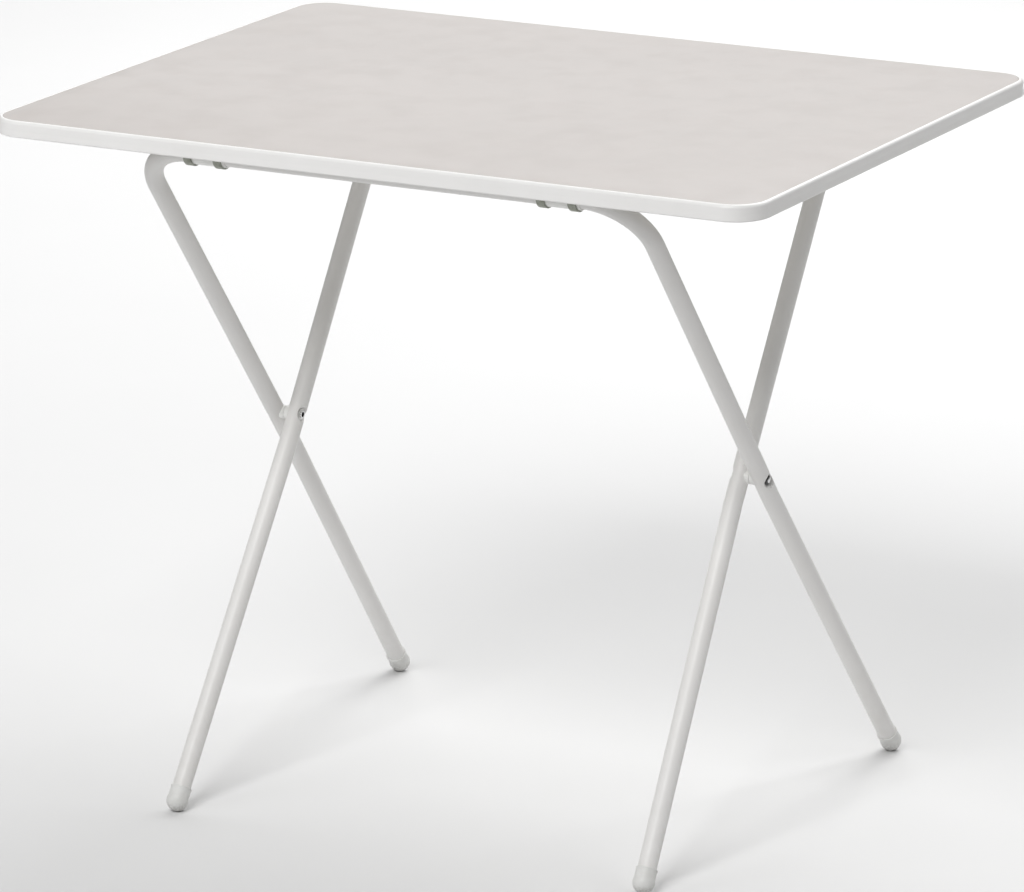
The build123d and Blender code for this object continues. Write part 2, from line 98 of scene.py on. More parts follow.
# ---------------------------------------------------------------------------------------------
# Mesh helpers
# ---------------------------------------------------------------------------------------------
def new_object(name, mesh):
    """Link one mesh as an object of the scene."""
    piece = bpy.data.objects.new(name, mesh)
    bpy.context.scene.collection.objects.link(piece)
    return piece


def shade(mesh):
    """Shade a mesh smooth, but sharp where its faces meet at an angle."""
    mesh.shade_smooth()
    mesh.set_sharp_from_angle(angle=SHARP_ANGLE)


def face_outward(mesh):
    """Turn a mesh's faces outward."""
    turned = bmesh.new()
    turned.from_mesh(mesh)
    bmesh.ops.recalc_face_normals(turned, faces=turned.faces)
    turned.to_mesh(mesh)
    turned.free()


def mesh_object(name, vertices, faces):
    """Make a smooth-shaded solid object from points and faces."""
    mesh = bpy.data.meshes.new(name)
    mesh.from_pydata([tuple(v) for v in vertices], [], faces)
    mesh.validate()
    face_outward(mesh)
    shade(mesh)
    return new_object(name, mesh)


def rounded_line(corners, radii, steps=8, closed=False):
    """Give a 2D line through corners, each rounded to its radius with an arc of several steps."""
    line = []
    count = len(corners)
    for index, corner in enumerate(corners):
        corner = Vector(corner)
        radius = radii[index]
        end = not closed and index in (0, count - 1)
        if end or radius <= 0:
            line.append(corner)
            continue
        before = (Vector(corners[index - 1]) - corner).normalized()
        after = (Vector(corners[(index + 1) % count]) - corner).normalized()
        half = before.angle(after) / 2
        reach = radius / math.tan(half)
        centre = corner + (before + after).normalized() * (radius / math.sin(half))
        start = corner + before * reach - centre
        sweep = math.pi - 2 * half
        turn = -math.copysign(sweep, before.x * after.y - before.y * after.x)
        for step in range(steps + 1):
            angle = turn * step / steps
            cosine, sine = math.cos(angle), math.sin(angle)
            spoke = (start.x * cosine - start.y * sine, start.x * sine + start.y * cosine)
            line.append(centre + Vector(spoke))
    return line


def arc(centre, radius, start, finish, steps):
    """Give the points of a 2D arc about a centre, from one angle to another."""
    points = []
    for step in range(steps + 1):
        angle = start + (finish - start) * step / steps
        points.append((centre[0] + radius * math.cos(angle), centre[1] + radius * math.sin(angle)))
    return points


def strip_faces(rows, row_length, wrap_rows, wrap_columns):
    """Give the faces of a grid of points, stored row by row."""
    faces = []
    for row in range(rows if wrap_rows else rows - 1):
        following = (row + 1) % rows
        for column in range(row_length if wrap_columns else row_length - 1):
            beside = (column + 1) % row_length
            faces.append(
                (
                    row * row_length + column,
                    row * row_length + beside,
                    following * row_length + beside,
                    following * row_length + column,
                )
            )
    return faces


def closed_strip_faces(rows, row_length):
    """Give the faces of a tube of points, stored ring by ring, and of its two flat ends."""
    total = rows * row_length
    faces = strip_faces(rows, row_length, False, True)
    faces.append(tuple(range(row_length)))
    faces.append(tuple(range(total - 1, total - 1 - row_length, -1)))
    return faces


def lathe(name, profile, origin, axis, segments=64):
    """Turn a profile of (radius, height) points about an axis into a ring or, where it starts and
    ends on the axis, into a closed body."""
    axis = Vector(axis).normalized()
    sideways = axis.orthogonal().normalized()
    across = axis.cross(sideways)
    vertices = []
    rings = []
    for radius, height in profile:
        foot = Vector(origin) + axis * height
        if radius < ON_AXIS:
            rings.append((len(vertices),))
            vertices.append(foot)
            continue
        rings.append(tuple(range(len(vertices), len(vertices) + segments)))
        for step in range(segments):
            angle = 2 * math.pi * step / segments
            spoke = sideways * math.cos(angle) + across * math.sin(angle)
            vertices.append(foot + spoke * radius)
    faces = []
    for lower, upper in zip(rings, rings[1:] + rings[:1]):
        if len(lower) == 1 and len(upper) == 1:
            continue
        for step in range(segments):
            beside = (step + 1) % segments
            if len(lower) == 1:
                faces.append((lower[0], upper[step], upper[beside]))
            elif len(upper) == 1:
                faces.append((lower[step], upper[0], lower[beside]))
            else:
                faces.append((lower[step], lower[beside], upper[beside], upper[step]))
    return mesh_object(name, vertices, faces)


def prism_faces(count):
    """Give the faces of a prism: two ends of so many corners each, and the sides between them."""
    faces = [tuple(range(count)), tuple(range(2 * count - 1, count - 1, -1))]
    for corner in range(count):
        beside = (corner + 1) % count
        faces.append((corner, beside, count + beside, count + corner))
    return faces


def extrude_along_x(name, outline, start, end, bevel):
    """Make a bar along X from a closed (y, z) outline, with its edges rounded."""
    vertices = [Vector((start, y, z)) for y, z in outline]
    vertices += [Vector((end, y, z)) for y, z in outline]
    piece = mesh_object(name, vertices, prism_faces(len(outline)))
    round_edges(piece, bevel)
    return piece


def round_edges(piece, width, segments=3, angle=40):
    """Round an object's hard edges."""
    bevel = piece.modifiers.new("rounded edges", "BEVEL")
    bevel.width = width
    bevel.segments = segments
    bevel.limit_method = "ANGLE"
    bevel.angle_limit = math.radians(angle)
    bevel.harden_normals = True


def apply_modifiers(piece):
    """Fix an object's modifiers into its mesh."""
    graph = bpy.context.evaluated_depsgraph_get()
    final = bpy.data.meshes.new_from_object(piece.evaluated_get(graph))
    piece.modifiers.clear()
    piece.data = final
    return piece


def join(name, parts):
    """Join several objects into one."""
    joined = bmesh.new()
    for part in parts:
        joined.from_mesh(apply_modifiers(part).data)
    mesh = bpy.data.meshes.new(name)
    joined.to_mesh(mesh)
    joined.free()
    for part in parts:
        bpy.data.objects.remove(part)
    shade(mesh)
    return new_object(name, mesh)


def finish_piece(piece, body, slot, material, *nodes):
    """Give a piece its material and its body, and hide the CAD nodes that it stands for; the slot is
    not used.
    """
    piece.data.materials.clear()
    piece.data.materials.append(material)
    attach(piece, body)
    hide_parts(*nodes)


# ---------------------------------------------------------------------------------------------
# Materials
# ---------------------------------------------------------------------------------------------
class Shader:
    """One node material being put together."""

    def __init__(self, name):
        self.material = bpy.data.materials.new(name)
        self.material.use_nodes = True
        self.tree = self.material.node_tree
        self.surface = self.tree.nodes["Principled BSDF"]
        self.place = self.node("ShaderNodeTexCoord").outputs["Object"]

    def node(self, kind, **settings):
        """Add a node, with its settings."""
        node = self.tree.nodes.new(kind)
        for key, value in settings.items():
            setattr(node, key, value)
        return node

    def link(self, output, socket):
        """Join an output to a socket."""
        self.tree.links.new(output, socket)

    def noise(self, scale, detail=2.0, stretch=(1, 1, 1), roughness=0.5):
        """Give a noise pattern, scale being its bumps per metre, drawn out along the axes whose
        stretch is below 1."""
        mapping = self.node("ShaderNodeMapping")
        mapping.inputs["Scale"].default_value = stretch
        self.link(self.place, mapping.inputs["Vector"])
        noise = self.node("ShaderNodeTexNoise")
        noise.inputs["Scale"].default_value = scale
        noise.inputs["Detail"].default_value = detail
        noise.inputs["Roughness"].default_value = roughness
        self.link(mapping.outputs["Vector"], noise.inputs["Vector"])
        return noise.outputs["Fac"]

    def ramp(self, value, low, high, start=0.0, end=1.0):
        """Map a value from low..high to start..end, without going past them."""
        node = self.node("ShaderNodeMapRange")
        node.inputs["From Min"].default_value = low
        node.inputs["From Max"].default_value = high
        node.inputs["To Min"].default_value = start
        node.inputs["To Max"].default_value = end
        self.link(value, node.inputs["Value"])
        return node.outputs["Result"]

    def mix(self, factor, first, second):
        """Mix two colours, each a colour or an output."""
        node = self.node("ShaderNodeMix", data_type="RGBA")
        self.link(factor, node.inputs["Factor"])
        for socket, colour in ((node.inputs[6], first), (node.inputs[7], second)):
            if isinstance(colour, bpy.types.NodeSocket):
                self.link(colour, socket)
            else:
                socket.default_value = (*colour, 1)
        return node.outputs[2]

    def math(self, operation, first, second=0):
        """Work out one value from one or two, each a number or an output."""
        node = self.node("ShaderNodeMath", operation=operation)
        for socket, value in zip(node.inputs, (first, second)):
            if isinstance(value, bpy.types.NodeSocket):
                self.link(value, socket)
            else:
                socket.default_value = value
        return node.outputs["Value"]

    def bump(self, height, distance, strength):
        """Raise the surface by a pattern, distance being its full height in metres."""
        node = self.node("ShaderNodeBump")
        node.inputs["Strength"].default_value = strength
        node.inputs["Distance"].default_value = distance
        self.link(height, node.inputs["Height"])
        self.link(node.outputs["Normal"], self.surface.inputs["Normal"])

    def coordinates(self):
        """Give the place's X, Y and Z in metres."""
        split = self.node("ShaderNodeSeparateXYZ")
        self.link(self.place, split.inputs["Vector"])
        return split.outputs

    def set(self, **values):
        """Set plain numbers on the surface's own sockets."""
        for name, value in values.items():
            self.surface.inputs[name.replace("_", " ")].default_value = value


def laminate_material():
    """Warm light grey laminate with a fine pearl texture, faint clouding and rub marks."""
    s = Shader("laminate")
    cloud = s.ramp(s.noise(26, 4), 0.35, 0.65)
    fleck = s.ramp(s.noise(900, 2), 0.4, 0.6)
    warm = s.mix(cloud, (0.441, 0.411, 0.393), (0.457, 0.425, 0.406))
    colour = s.mix(s.math("MULTIPLY", fleck, 0.35), warm, (0.423, 0.393, 0.373))
    s.link(colour, s.surface.inputs["Base Color"])
    rubbed = s.ramp(s.noise(24, 4), 0.45, 0.7, 0.42, 0.50)
    s.link(rubbed, s.surface.inputs["Roughness"])
    s.bump(s.noise(1400, 2), 0.04 * MM, 0.35)
    s.set(IOR=1.5, Specular_IOR_Level=0.4)
    return s.material


def moulding_material():
    """White edge moulding, semi-gloss, with faint lines drawn along it and dull rubbed patches."""
    s = Shader("edge moulding")
    cloud = s.ramp(s.noise(10, 3), 0.3, 0.7)
    colour = s.mix(cloud, (0.788, 0.780, 0.768), (0.806, 0.800, 0.790))
    rubbed = s.ramp(s.noise(35, 4), 0.5, 0.8)
    colour = s.mix(s.math("MULTIPLY", rubbed, 0.12), colour, (0.66, 0.65, 0.63))
    s.link(colour, s.surface.inputs["Base Color"])
    s.link(s.ramp(s.noise(40, 4), 0.3, 0.7, 0.28, 0.36), s.surface.inputs["Roughness"])
    s.bump(s.noise(700, 2, stretch=(0.06, 0.06, 1)), 0.02 * MM, 0.25)
    s.set(IOR=1.5, Specular_IOR_Level=0.5)
    return s.material


def paint_material():
    """White stoved paint on steel tube: slight orange peel, and a little grime near the feet."""
    s = Shader("painted tube")
    cloud = s.ramp(s.noise(10, 3), 0.35, 0.65)
    colour = s.mix(cloud, (0.752, 0.743, 0.727), (0.770, 0.762, 0.750))
    low = s.ramp(s.coordinates()["Z"], 20 * MM, 160 * MM, 1.0, 0.0)
    grime_and_shade = s.math("MULTIPLY", low, s.ramp(s.noise(45, 3), 0.4, 0.8))
    colour = s.mix(s.math("MULTIPLY", grime_and_shade, 0.22), colour, (0.52, 0.50, 0.46))
    s.link(colour, s.surface.inputs["Base Color"])
    s.link(s.ramp(s.noise(30, 4), 0.3, 0.7, 0.38, 0.46), s.surface.inputs["Roughness"])
    s.bump(s.noise(420, 1), 0.03 * MM, 0.2)
    s.set(IOR=1.5, Specular_IOR_Level=0.4)
    return s.material


def soft_plastic_material(name, light, dark, low=0.42, high=0.58, floor_dirt=0.0):
    """Moulded plastic with a fine matte grain, a little colour variation and, if asked for, dirt
    near the floor."""
    s = Shader(name)
    cloud = s.ramp(s.noise(90, 4), 0.35, 0.65)
    colour = s.mix(cloud, dark, light)
    if floor_dirt:
        near = s.ramp(s.coordinates()["Z"], 0, 12 * MM, 1.0, 0.0)
        patch = s.math("MULTIPLY", near, s.ramp(s.noise(500, 4), 0.35, 0.6))
        colour = s.mix(s.math("MULTIPLY", patch, floor_dirt), colour, (0.22, 0.20, 0.18))
    s.link(colour, s.surface.inputs["Base Color"])
    s.link(s.ramp(s.noise(150, 4), 0.4, 0.7, low, high), s.surface.inputs["Roughness"])
    s.bump(s.noise(1800, 2), 0.03 * MM, 0.4)
    s.set(IOR=1.48, Specular_IOR_Level=0.45)
    return s.material


def zinc_material():
    """Zinc plated pressing with a faint yellow-green passivation, rolling lines and spangle."""
    s = Shader("zinc plated steel")
    spangle = s.ramp(s.noise(240, 4, roughness=0.6), 0.35, 0.65)
    colour = s.mix(spangle, (0.25, 0.26, 0.22), (0.37, 0.38, 0.34))
    s.link(colour, s.surface.inputs["Base Color"])
    lines = s.noise(900, 3, stretch=(0.08, 1, 1))
    s.link(s.ramp(lines, 0.3, 0.7, 0.28, 0.46), s.surface.inputs["Roughness"])
    s.bump(lines, 0.02 * MM, 0.5)
    s.set(Metallic=0.9)
    return s.material


def bright_metal_material(name, colour, dark, low, high, rim_shade_and_grime=0.0):
    """Plated bright metal with fine handling scratches, painted shade inside a rivet's bore and, if
    asked for, painted shade with some grime darkening a ring round a rivet head's rim."""
    # The bore lies on the inner side of the shank's middle, and the head on its outer side
    shank_middle = 250 * MM
    bore_fade = (2.3 * MM, 2.8 * MM)
    rim_fade = (2.4 * MM, 3.4 * MM)
    black = (0.02, 0.02, 0.02)
    s = Shader(name)
    cloud = s.ramp(s.noise(420, 3), 0.35, 0.65)
    plated = s.mix(cloud, dark, colour)
    x, y, z = s.coordinates()
    off_y = s.math("POWER", s.math("SUBTRACT", y, PIVOT.y), 2)
    off_z = s.math("POWER", s.math("SUBTRACT", z, PIVOT.z), 2)
    off_axis = s.math("SQRT", s.math("ADD", off_y, off_z))
    across = s.math("ABSOLUTE", x)
    inward = s.math("LESS_THAN", across, shank_middle)
    # Painted shade: the inside of the rivet's bore is coloured near black
    bore_shade = s.math("MULTIPLY", inward, s.ramp(off_axis, *bore_fade, 1.0, 0.0))
    outward = s.math("GREATER_THAN", across, shank_middle)
    # Painted shade, with some grime: a dark ring round the rivet head's rim, where it sits down in
    # the dimple
    grime_and_shade = s.math("MULTIPLY", outward, s.ramp(off_axis, *rim_fade))
    shaded = s.math("MAXIMUM", bore_shade, s.math("MULTIPLY", grime_and_shade, rim_shade_and_grime))
    s.link(s.mix(shaded, plated, black), s.surface.inputs["Base Color"])
    s.link(s.ramp(s.noise(800, 5), 0.4, 0.7, low, high), s.surface.inputs["Roughness"])
    s.bump(s.noise(1500, 3, stretch=(1, 0.3, 1)), 0.01 * MM, 0.3)
    s.set(Metallic=1.0)
    return s.material


def chipboard_material():
    """Pressed wood chips, seen only where a screw hole or the groove cuts the board."""
    s = Shader("chipboard")
    chips = s.ramp(s.noise(380, 4, stretch=(1, 1, 2)), 0.35, 0.65)
    colour = s.mix(chips, (0.36, 0.25, 0.14), (0.58, 0.44, 0.28))
    s.link(colour, s.surface.inputs["Base Color"])
    s.bump(s.noise(600, 3), 0.2 * MM, 0.6)
    s.set(Roughness=0.8)
    return s.material


def backing_material():
    """Balancing sheet under the board: dull, off-white, with a soft roller texture."""
    s = Shader("backing sheet")
    cloud = s.ramp(s.noise(7, 4), 0.35, 0.65)
    colour = s.mix(cloud, (0.60, 0.585, 0.55), (0.65, 0.635, 0.60))
    s.link(colour, s.surface.inputs["Base Color"])
    s.link(s.ramp(s.noise(25, 4), 0.4, 0.7, 0.5, 0.66), s.surface.inputs["Roughness"])
    s.bump(s.noise(500, 2, stretch=(0.3, 1, 1)), 0.05 * MM, 0.4)
    return s.material


LAMINATE = laminate_material()
MOULDING = moulding_material()
PAINT = paint_material()
FOOT_PLASTIC = soft_plastic_material(
    "foot plastic", (0.72, 0.72, 0.705), (0.66, 0.66, 0.64), 0.40, 0.56, floor_dirt=0.6
)
NYLON = soft_plastic_material("white nylon", (0.86, 0.86, 0.84), (0.80, 0.80, 0.78), 0.34, 0.5)
REST_PLASTIC = soft_plastic_material("rest plastic", (0.74, 0.74, 0.72), (0.69, 0.69, 0.67))
ZINC = zinc_material()
CHROME = bright_metal_material(
    "bright plate", (0.80, 0.80, 0.80), (0.70, 0.70, 0.70), 0.05, 0.14, rim_shade_and_grime=0.92
)
WASHER_STEEL = bright_metal_material(
    "washer steel", (0.84, 0.84, 0.82), (0.76, 0.76, 0.74), 0.42, 0.55
)
CHIPBOARD = chipboard_material()
BACKING = backing_material()


# ---------------------------------------------------------------------------------------------
# The top
# ---------------------------------------------------------------------------------------------
BOARD_HALF_LENGTH = CAD_BOX[1].x - EDGE_THICKNESS - EDGE_LIP
BOARD_HALF_DEPTH = CAD_BOX[1].y - EDGE_THICKNESS - EDGE_LIP
BOARD_CORNER = CORNER_RADIUS - EDGE_THICKNESS - EDGE_LIP
CORNER_STEPS = 24


def board_outline(offset=0.0):
    """Give the board's rounded outline, moved out by an offset, from the middle of the back edge."""
    half_length = BOARD_HALF_LENGTH + offset
    half_depth = BOARD_HALF_DEPTH + offset
    corners = [
        (0, half_depth),
        (-half_length, half_depth),
        (-half_length, -half_depth),
        (half_length, -half_depth),
        (half_length, half_depth),
        (0, half_depth),
    ]
    radius = BOARD_CORNER + offset
    return rounded_line(corners, [0, radius, radius, radius, radius, 0], CORNER_STEPS)


def laminate_sheet():
    """Make the top sheet, with its arris eased so that a fine line shows beside the moulding."""
    ease = 0.6 * MM
    inset = 0.15 * MM
    rings = [
        (inset, SHEET_THICKNESS),
        (inset, ease),
        (inset + 0.3 * ease, 0.3 * ease),
        (inset + ease, 0),
    ]
    vertices = []
    for inward, depth in rings:
        # The outline's last point repeats its first
        outline = board_outline(-inward)[:-1]
        vertices += [Vector((p.x, p.y, TABLE_HEIGHT - depth)) for p in outline]
    faces = closed_strip_faces(len(rings), len(outline))
    sheet = mesh_object("laminate_sheet", vertices, faces)
    finish_piece(sheet, "top", "laminate", LAMINATE, "top_laminate")


def edging():
    """Sweep the moulding's section round the board, from one butt end to the other at the back."""
    seam = 0.05 * MM
    seam_depth = 0.9 * MM
    seam_round = 0.5 * MM
    arris = 3.4 * MM
    lip_start = 9 * MM
    lip_curve = 8 * MM
    lip_round = 1.5 * MM
    heel = 0.6 * MM
    heel_drop = 0.5 * MM
    barb = 8 * MM
    barb_half = 1 * MM
    barb_tip_half = 0.6 * barb_half
    middle = BOARD_THICKNESS / 2
    # Each corner is its place across and up, and the radius that it is rounded to
    corners = [
        (seam, -seam_depth, 0),
        (seam, 0, seam_round),
        (EDGE_THICKNESS, 0, arris),
        (EDGE_THICKNESS, -lip_start, lip_curve),
        (EDGE_THICKNESS + EDGE_LIP, -EDGE_HEIGHT, lip_round),
        (heel, -EDGE_HEIGHT, 0.5 * MM),
        (0, -BOARD_THICKNESS - heel_drop, 0.3 * MM),
        (0, -middle - barb_half, 0),
        (-barb, -middle - barb_tip_half, 0),
        (-barb, -middle + barb_tip_half, 0),
        (0, -middle + barb_half, 0),
    ]
    section = rounded_line([c[:2] for c in corners], [c[2] for c in corners], 8, closed=True)
    line = board_outline()
    butt_gap = 0.15 * MM
    rows = len(line)
    vertices = []
    for index, point in enumerate(line):
        before = line[max(index - 1, 0)]
        after = line[min(index + 1, rows - 1)]
        along = (after - before).normalized()
        outward = Vector((along.y, -along.x))
        if outward.dot(point) < 0:
            outward = -outward
        shift = Vector((0, 0))
        if index == 0:
            shift = Vector((-butt_gap, 0))
        if index == rows - 1:
            shift = Vector((butt_gap, 0))
        for across, up in section:
            place = point + shift + outward * across
            vertices.append(Vector((place.x, place.y, TABLE_HEIGHT + up)))
    moulding = mesh_object("edging", vertices, closed_strip_faces(rows, len(section)))
    finish_piece(moulding, "top", "edge_plastic", MOULDING, "edge_moulding")


# ---------------------------------------------------------------------------------------------
# The frames
# ---------------------------------------------------------------------------------------------
def frame_numbers(top_y, foot_y, half_widths):
    """Work out one frame's leg: its direction up the leg, its length, its widths and its kink."""
    rise = TUBE_Z - FOOT_RADIUS
    run = top_y - foot_y
    length = math.hypot(rise, run)
    top_width, kink_width, foot_width = half_widths
    pivot_drop = math.hypot(TUBE_Z - PIVOT.z, top_y - PIVOT.y)
    kink_drop = pivot_drop + KINK_BELOW_PIVOT
    lean = (kink_width - top_width) / kink_drop
    return {
        "up": Vector((0, run, rise)).normalized(),
        "length": length,
        "top_y": top_y,
        "pivot_drop": pivot_drop,
        "kink_drop": kink_drop,
        "half_widths": half_widths,
        "pivot_width": top_width + lean * pivot_drop,
        "splay": (foot_width - kink_width) / (length - kink_drop),
    }


OUTER = frame_numbers(OUTER_TOP_Y, OUTER_FOOT_Y, OUTER_HALF_WIDTHS)
INNER = frame_numbers(INNER_TOP_Y, INNER_FOOT_Y, INNER_HALF_WIDTHS)


def leg_point(numbers, across, up):
    """Give the place of a point in one frame's slanted plane."""
    return Vector((across, numbers["top_y"], TUBE_Z)) + numbers["up"] * up


def with_pivot_rings(line, drop):
    """Add close-set points to a leg's straight run round the pivot, for the dimple's shape."""
    reach = 1.6 * DIMPLE_RADIUS
    count = 28
    levels = [-drop - reach + 2 * reach * step / count for step in range(count + 1)]
    filled = [line[0]]
    for start, finish in zip(line, line[1:]):
        low, high = sorted((start.y, finish.y))
        if high > low:
            between = [level for level in levels if low < level < high]
            for level in between if finish.y > start.y else reversed(between):
                filled.append(start.lerp(finish, (level - start.y) / (finish.y - start.y)))
        filled.append(finish)
    return filled


def pressed_in(point, axis_x, facing):
    """Move a point of a leg's surface into the dimple that is pressed into its facing side."""
    wall_start = 0.86
    wall_width = 0.3
    clear_of_wall = 1.3
    out = (point.x - axis_x) * facing
    bottom = TUBE_RADIUS - DIMPLE_DEPTH
    spread = math.hypot(point.y - PIVOT.y, point.z - PIVOT.z) / DIMPLE_RADIUS
    if out <= bottom or spread > clear_of_wall:
        return point
    rise = min(max((spread - wall_start) / wall_width, 0), 1)
    rise = rise * rise * (3 - 2 * rise)
    return Vector((axis_x + facing * (bottom + (out - bottom) * rise), point.y, point.z))


def bent_tube(name, numbers, node, body, outward):
    """Sweep a round section along one frame's centre line, and press the pivots' dimples in."""
    segments = 96
    bend_steps = 28
    top_width, kink_width, foot_width = numbers["half_widths"]
    end = numbers["length"] - TUBE_END
    end_width = foot_width - numbers["splay"] * TUBE_END
    corners = [
        (-end_width, -end),
        (-kink_width, -numbers["kink_drop"]),
        (-top_width, 0),
        (top_width, 0),
        (kink_width, -numbers["kink_drop"]),
        (end_width, -end),
    ]
    radii = [0, KINK_RADIUS, BEND_RADIUS, BEND_RADIUS, KINK_RADIUS, 0]
    line = with_pivot_rings(rounded_line(corners, radii, bend_steps), numbers["pivot_drop"])
    normal = Vector((1, 0, 0)).cross(numbers["up"]).normalized()
    vertices = []
    for index, point in enumerate(line):
        before = line[max(index - 1, 0)]
        after = line[min(index + 1, len(line) - 1)]
        along = (after - before).normalized()
        across = leg_point(numbers, -along.y, along.x) - leg_point(numbers, 0, 0)
        centre = leg_point(numbers, point.x, point.y)
        side = 1 if centre.x > 0 else -1
        pivot_x = side * numbers["pivot_width"]
        for step in range(segments):
            angle = 2 * math.pi * step / segments
            spoke = across * math.cos(angle) + normal * math.sin(angle)
            surface = centre + spoke * TUBE_RADIUS
            vertices.append(pressed_in(surface, pivot_x, side * outward))
    tube = mesh_object(name, vertices, closed_strip_faces(len(line), segments))
    finish_piece(tube, body, "painted_tube", PAINT, node)


def foot_cap(label, side, numbers, body):
    """Turn one foot: a ball under a short rimmed cup, with a plug that fills the tube's end."""
    foot_width = numbers["half_widths"][2]
    centre = leg_point(numbers, side * foot_width, -numbers["length"])
    up = (numbers["up"] - Vector((side * numbers["splay"], 0, 0))).normalized()
    cup = 10 * MM
    cup_low = 0.4 * MM
    rim = 10.3 * MM
    rim_low = 11.9 * MM
    rim_slope = 0.2 * MM
    top = 13.5 * MM
    plug = TUBE_RADIUS - TUBE_WALL
    plug_top = 25 * MM
    neck = math.sqrt(FOOT_RADIUS**2 - cup**2)
    ball = arc((0, 0), FOOT_RADIUS, -math.pi / 2, math.atan2(neck, cup), 20)
    upper = rounded_line(
        [
            (cup, neck + cup_low),
            (cup, rim_low),
            (rim, rim_low + rim_slope),
            (rim, top),
            (TUBE_RADIUS, top),
            (TUBE_RADIUS, TUBE_END),
            (plug, TUBE_END),
            (plug, plug_top),
        ],
        [0, 0.1 * MM, 0.1 * MM, 0.5 * MM, 0.15 * MM, 0, 0, 0.4 * MM],
        4,
    )
    profile = ball + upper + [(0, plug_top)]
    cap = lathe(f"{body}_foot_cap_piece_{label}", profile, centre, up)
    node = f"{body.split('_')[0]}_foot_cap_{label}"
    finish_piece(cap, body, "foot_plastic", FOOT_PLASTIC, node)


# ---------------------------------------------------------------------------------------------
# The pivots
# ---------------------------------------------------------------------------------------------
OUTER_LEG_INSIDE = OUTER["pivot_width"] - TUBE_RADIUS
OUTER_FLOOR = OUTER["pivot_width"] + TUBE_RADIUS - DIMPLE_DEPTH
INNER_LEG_OUTSIDE = INNER["pivot_width"] + TUBE_RADIUS
INNER_FLOOR = INNER["pivot_width"] - TUBE_RADIUS + DIMPLE_DEPTH
GAP_MIDDLE = (OUTER_LEG_INSIDE + INNER_LEG_OUTSIDE) / 2
CLEARANCE = 0.3 * MM
RIVET_HOLE = 3.1 * MM
BUSH_HOLE = 4.5 * MM
FLAT_WASHER_THICKNESS = 0.8 * MM


def rivet(label, side):
    """Turn one semi-tubular rivet: domed head outside the table, rolled end with a hole inside."""
    head = 5.4 * MM
    edge = 0.6 * MM
    ease = 0.2 * MM
    dome = 2.4 * MM
    dome_radius = (head**2 + dome**2) / (2 * dome)
    apex = OUTER_FLOOR + edge + dome
    shank = 3 * MM
    roll_thickness = 1.3 * MM
    roll_radius = 4 * MM
    roll_base = INNER_FLOOR - CLEARANCE - FLAT_WASHER_THICKNESS
    roll_tip = roll_base - roll_thickness
    bore = 2.2 * MM
    bore_end = roll_tip + 8 * MM
    half_angle = math.asin(head / dome_radius)
    upright = math.pi / 2
    cap = arc((0, apex - dome_radius), dome_radius, upright, upright - half_angle, 14)
    below_head = rounded_line(
        [
            (head, OUTER_FLOOR + edge / 2),
            (head - ease, OUTER_FLOOR),
            (shank, OUTER_FLOOR),
            (shank, roll_base),
            (roll_radius, roll_base),
            (roll_radius, roll_tip),
            (bore, roll_tip),
            (bore, bore_end),
        ],
        [0, 0, 0, 0, 0.3 * MM, 0.7 * MM, 0.5 * MM, 0],
        6,
    )
    profile = cap + below_head + [(0, bore_end)]
    piece = lathe(f"rivet_{label}", profile, (0, PIVOT.y, PIVOT.z), (side, 0, 0))
    finish_piece(piece, "outer_frame", "rivet_chrome", CHROME, f"pivot_rivet_{label}")


def flat_washer(label, side):
    """Turn the flat washer under one rivet's rolled end."""
    rim = 5.4 * MM
    rim_round = 0.3 * MM
    hole_round = 0.15 * MM
    far = INNER_FLOOR - CLEARANCE
    near = far - FLAT_WASHER_THICKNESS
    corners = [(RIVET_HOLE, near), (rim, near), (rim, far), (RIVET_HOLE, far)]
    radii = [hole_round, rim_round, rim_round, hole_round]
    profile = rounded_line(corners, radii, 4, closed=True)
    piece = lathe(f"flat_washer_{label}", profile, (0, PIVOT.y, PIVOT.z), (side, 0, 0))
    finish_piece(piece, "outer_frame", "washer_steel", WASHER_STEEL, f"rivet_washer_{label}")


def saddle_washer(side, numbers, leg_face, flat_face, bore, body, node):
    """Make one washer whose seat follows the round of a leg and whose other face is flat."""
    radius = 6.5 * MM
    ease = 0.4 * MM
    ease_start = 0.3 * ease
    segments = 72
    toward_leg = 1 if leg_face > flat_face else -1
    up = numbers["up"]
    across = Vector((1, 0, 0)).cross(up).normalized()

    def seat(spoke):
        """Give how far the leg's round surface falls back at a point beside the axis."""
        beside = spoke.dot(across)
        return TUBE_RADIUS - math.sqrt(TUBE_RADIUS**2 - beside**2)

    rings = [
        (bore, "flat"),
        (radius - ease, "flat"),
        (radius - ease_start, "eased"),
        (radius, "side"),
        (radius, "seat"),
        ((radius + bore) / 2, "seat"),
        (bore, "seat"),
    ]
    vertices = []
    for ring_radius, kind in rings:
        for step in range(segments):
            angle = 2 * math.pi * step / segments
            spoke = (up * math.cos(angle) + across * math.sin(angle)) * ring_radius
            distance = {
                "flat": flat_face,
                "eased": flat_face + toward_leg * ease_start,
                "side": flat_face + toward_leg * ease,
                "seat": leg_face + toward_leg * seat(spoke),
            }[kind]
            vertices.append(Vector((side * distance, PIVOT.y, PIVOT.z)) + spoke)
    faces = strip_faces(len(rings), segments, True, True)
    piece = mesh_object(f"{node}_piece", vertices, faces)
    finish_piece(piece, body, "washer_plastic", NYLON, node)


